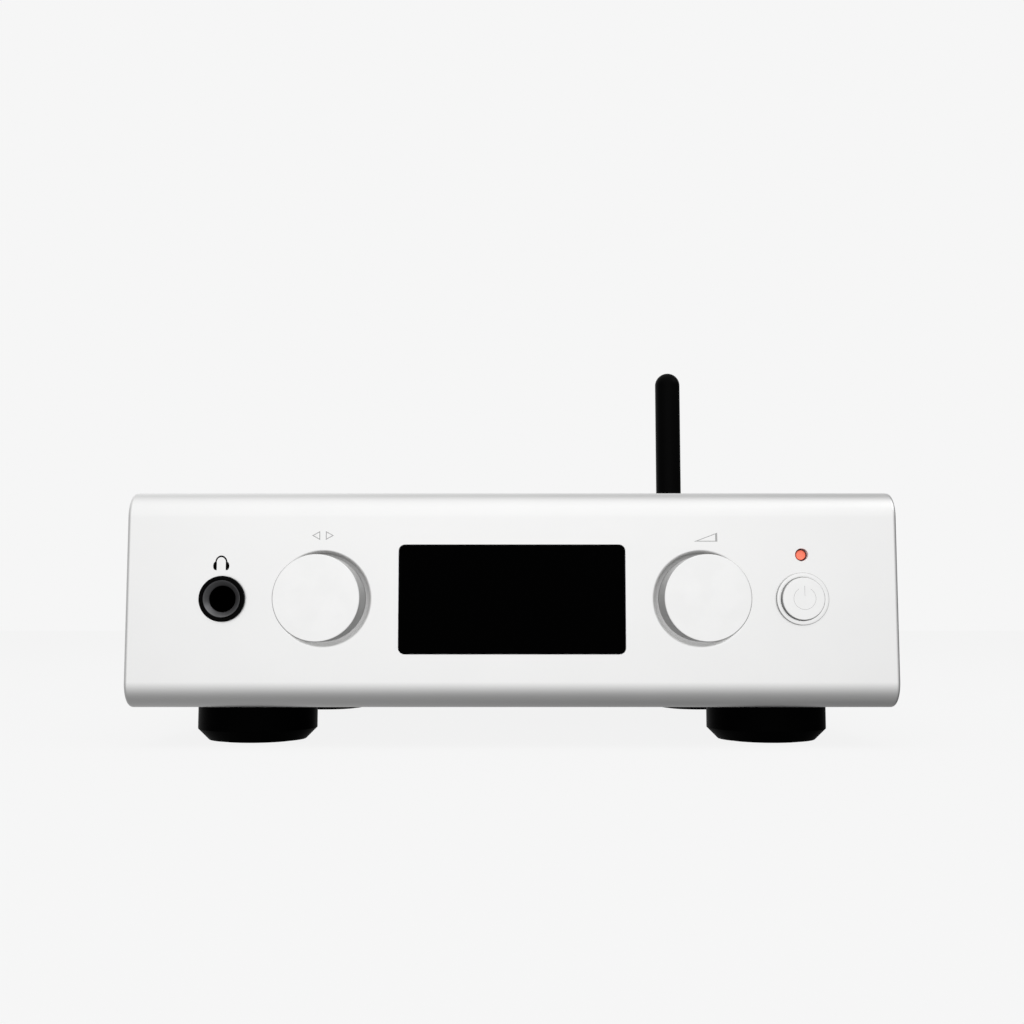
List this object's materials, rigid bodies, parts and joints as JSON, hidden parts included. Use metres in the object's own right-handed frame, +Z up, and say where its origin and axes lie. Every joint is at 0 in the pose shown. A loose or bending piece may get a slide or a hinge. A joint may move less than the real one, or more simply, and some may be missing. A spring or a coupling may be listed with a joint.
{
  "type": "headphone amplifier",
  "caption": "Desktop headphone amplifier with converter: silver case, dark display between two knobs, headphone socket, power button, rear connectors and a folding antenna.",
  "frame": {"origin": "on the table plane, under the middle of the whole footprint with its antenna", "axes": "+X to the right seen from the front, +Y to the back, +Z up; the front panel faces -Y"},
  "size_m": [0.19, 0.2138, 0.1331],
  "materials": {
    "case_aluminium": "satin anodised",
    "block_aluminium": "machined",
    "screw_steel": "satin",
    "foot_plastic": "satin",
    "pad_rubber": "matt",
    "window_black": "polished",
    "gasket_foam": "matt",
    "display_glass": "polished",
    "board_green": "satin",
    "black_plastic": "matt",
    "contact_brass": "bright",
    "shaft_steel": "turned",
    "lamp_red": "translucent",
    "capacitor_sleeve": "satin",
    "ribbon_grey": "satin",
    "transformer_winding": "taped",
    "heatsink_black": "black anodised",
    "antenna_black": "satin",
    "spacer_nylon": "matt",
    "connector_steel": "bright"
  },
  "bodies": {
    "casing": {"front_panel": "case_aluminium", "corner_blocks": "block_aluminium", "top_cover": "case_aluminium", "bottom_tray": "case_aluminium", "rear_panel": "case_aluminium", "panel_screws": "screw_steel", "cover_screws": "screw_steel", "foot_front_left": "foot_plastic", "foot_front_right": "foot_plastic", "foot_rear_left": "foot_plastic", "foot_rear_right": "foot_plastic", "foot_pads": "pad_rubber", "foot_screws": "screw_steel", "display_window": "window_black", "display_gasket": "gasket_foam", "display_module": "display_glass", "display_board": "board_green", "front_board": "board_green", "board_spacers": "spacer_nylon", "headphone_socket": "black_plastic", "socket_nut": "black_plastic", "socket_contacts": "contact_brass", "sel_encoder": "connector_steel", "vol_encoder": "connector_steel", "encoder_nuts": "connector_steel", "button_bezel": "case_aluminium", "power_switch": "black_plastic", "power_lamp": "lamp_red", "board_ribbon": "ribbon_grey", "main_board": "board_green", "board_standoffs": "contact_brass", "board_screws": "screw_steel", "filter_capacitors": "capacitor_sleeve", "heatsink": "heatsink_black", "board_chips": "black_plastic", "bluetooth_module": "board_green", "transformer": "transformer_winding", "transformer_dish": "screw_steel", "transformer_bolt": "screw_steel", "mains_inlet": "black_plastic", "inlet_pins": "connector_steel", "phono_housings": "black_plastic", "phono_shells": "contact_brass", "optical_socket": "black_plastic", "usb_socket": "connector_steel", "antenna_jack": "contact_brass", "antenna_jack_nut": "contact_brass", "antenna_collar": "contact_brass"},
    "sel_plunger": {"sel_plunger": "black_plastic"},
    "sel_knob": {"sel_knob": "case_aluminium", "sel_grub_screw": "screw_steel", "sel_shaft": "shaft_steel"},
    "vol_knob": {"vol_knob": "case_aluminium", "vol_grub_screw": "screw_steel", "vol_shaft": "shaft_steel"},
    "power_button": {"power_button": "case_aluminium"},
    "optical_flap": {"optical_flap": "black_plastic"},
    "antenna_knuckle": {"antenna_knuckle": "antenna_black"},
    "antenna_mast": {"antenna_mast": "antenna_black", "antenna_pin": "screw_steel"}
  },
  "joints": [
    {"name": "sel_push", "type": "slide", "parent": "casing", "child": "sel_plunger", "axis": [0, 1, 0], "range_m": [0, 0.0005], "stiffness_N_per_m": 2000, "springref_m": -0.001},
    {"name": "sel_turn", "type": "hinge", "parent": "sel_plunger", "child": "sel_knob", "pos_m": [-0.0465, -0.0961, 0.0365], "axis": [0, 1, 0], "continuous": true},
    {"name": "vol_turn", "type": "hinge", "parent": "casing", "child": "vol_knob", "pos_m": [0.0465, -0.0961, 0.0365], "axis": [0, 1, 0], "continuous": true},
    {"name": "power_press", "type": "slide", "parent": "casing", "child": "power_button", "axis": [0, 1, 0], "range_m": [0, 0.001], "stiffness_N_per_m": 1200, "springref_m": -0.001},
    {"name": "flap_swing", "type": "hinge", "parent": "casing", "child": "optical_flap", "pos_m": [-0.001, 0.0822, 0.0292], "axis": [-1, 0, 0], "range_deg": [0, 85], "stiffness_Nm_per_rad": 0.00002, "springref_deg": -28.65},
    {"name": "antenna_swivel", "type": "hinge", "parent": "casing", "child": "antenna_knuckle", "pos_m": [0.0639, 0.0929, 0.045], "axis": [0, 1, 0], "range_deg": [-90, 90]},
    {"name": "antenna_tilt", "type": "hinge", "parent": "antenna_knuckle", "child": "antenna_mast", "pos_m": [0.0639, 0.1019, 0.045], "axis": [-1, 0, 0], "range_deg": [0, 90]}
  ]
}
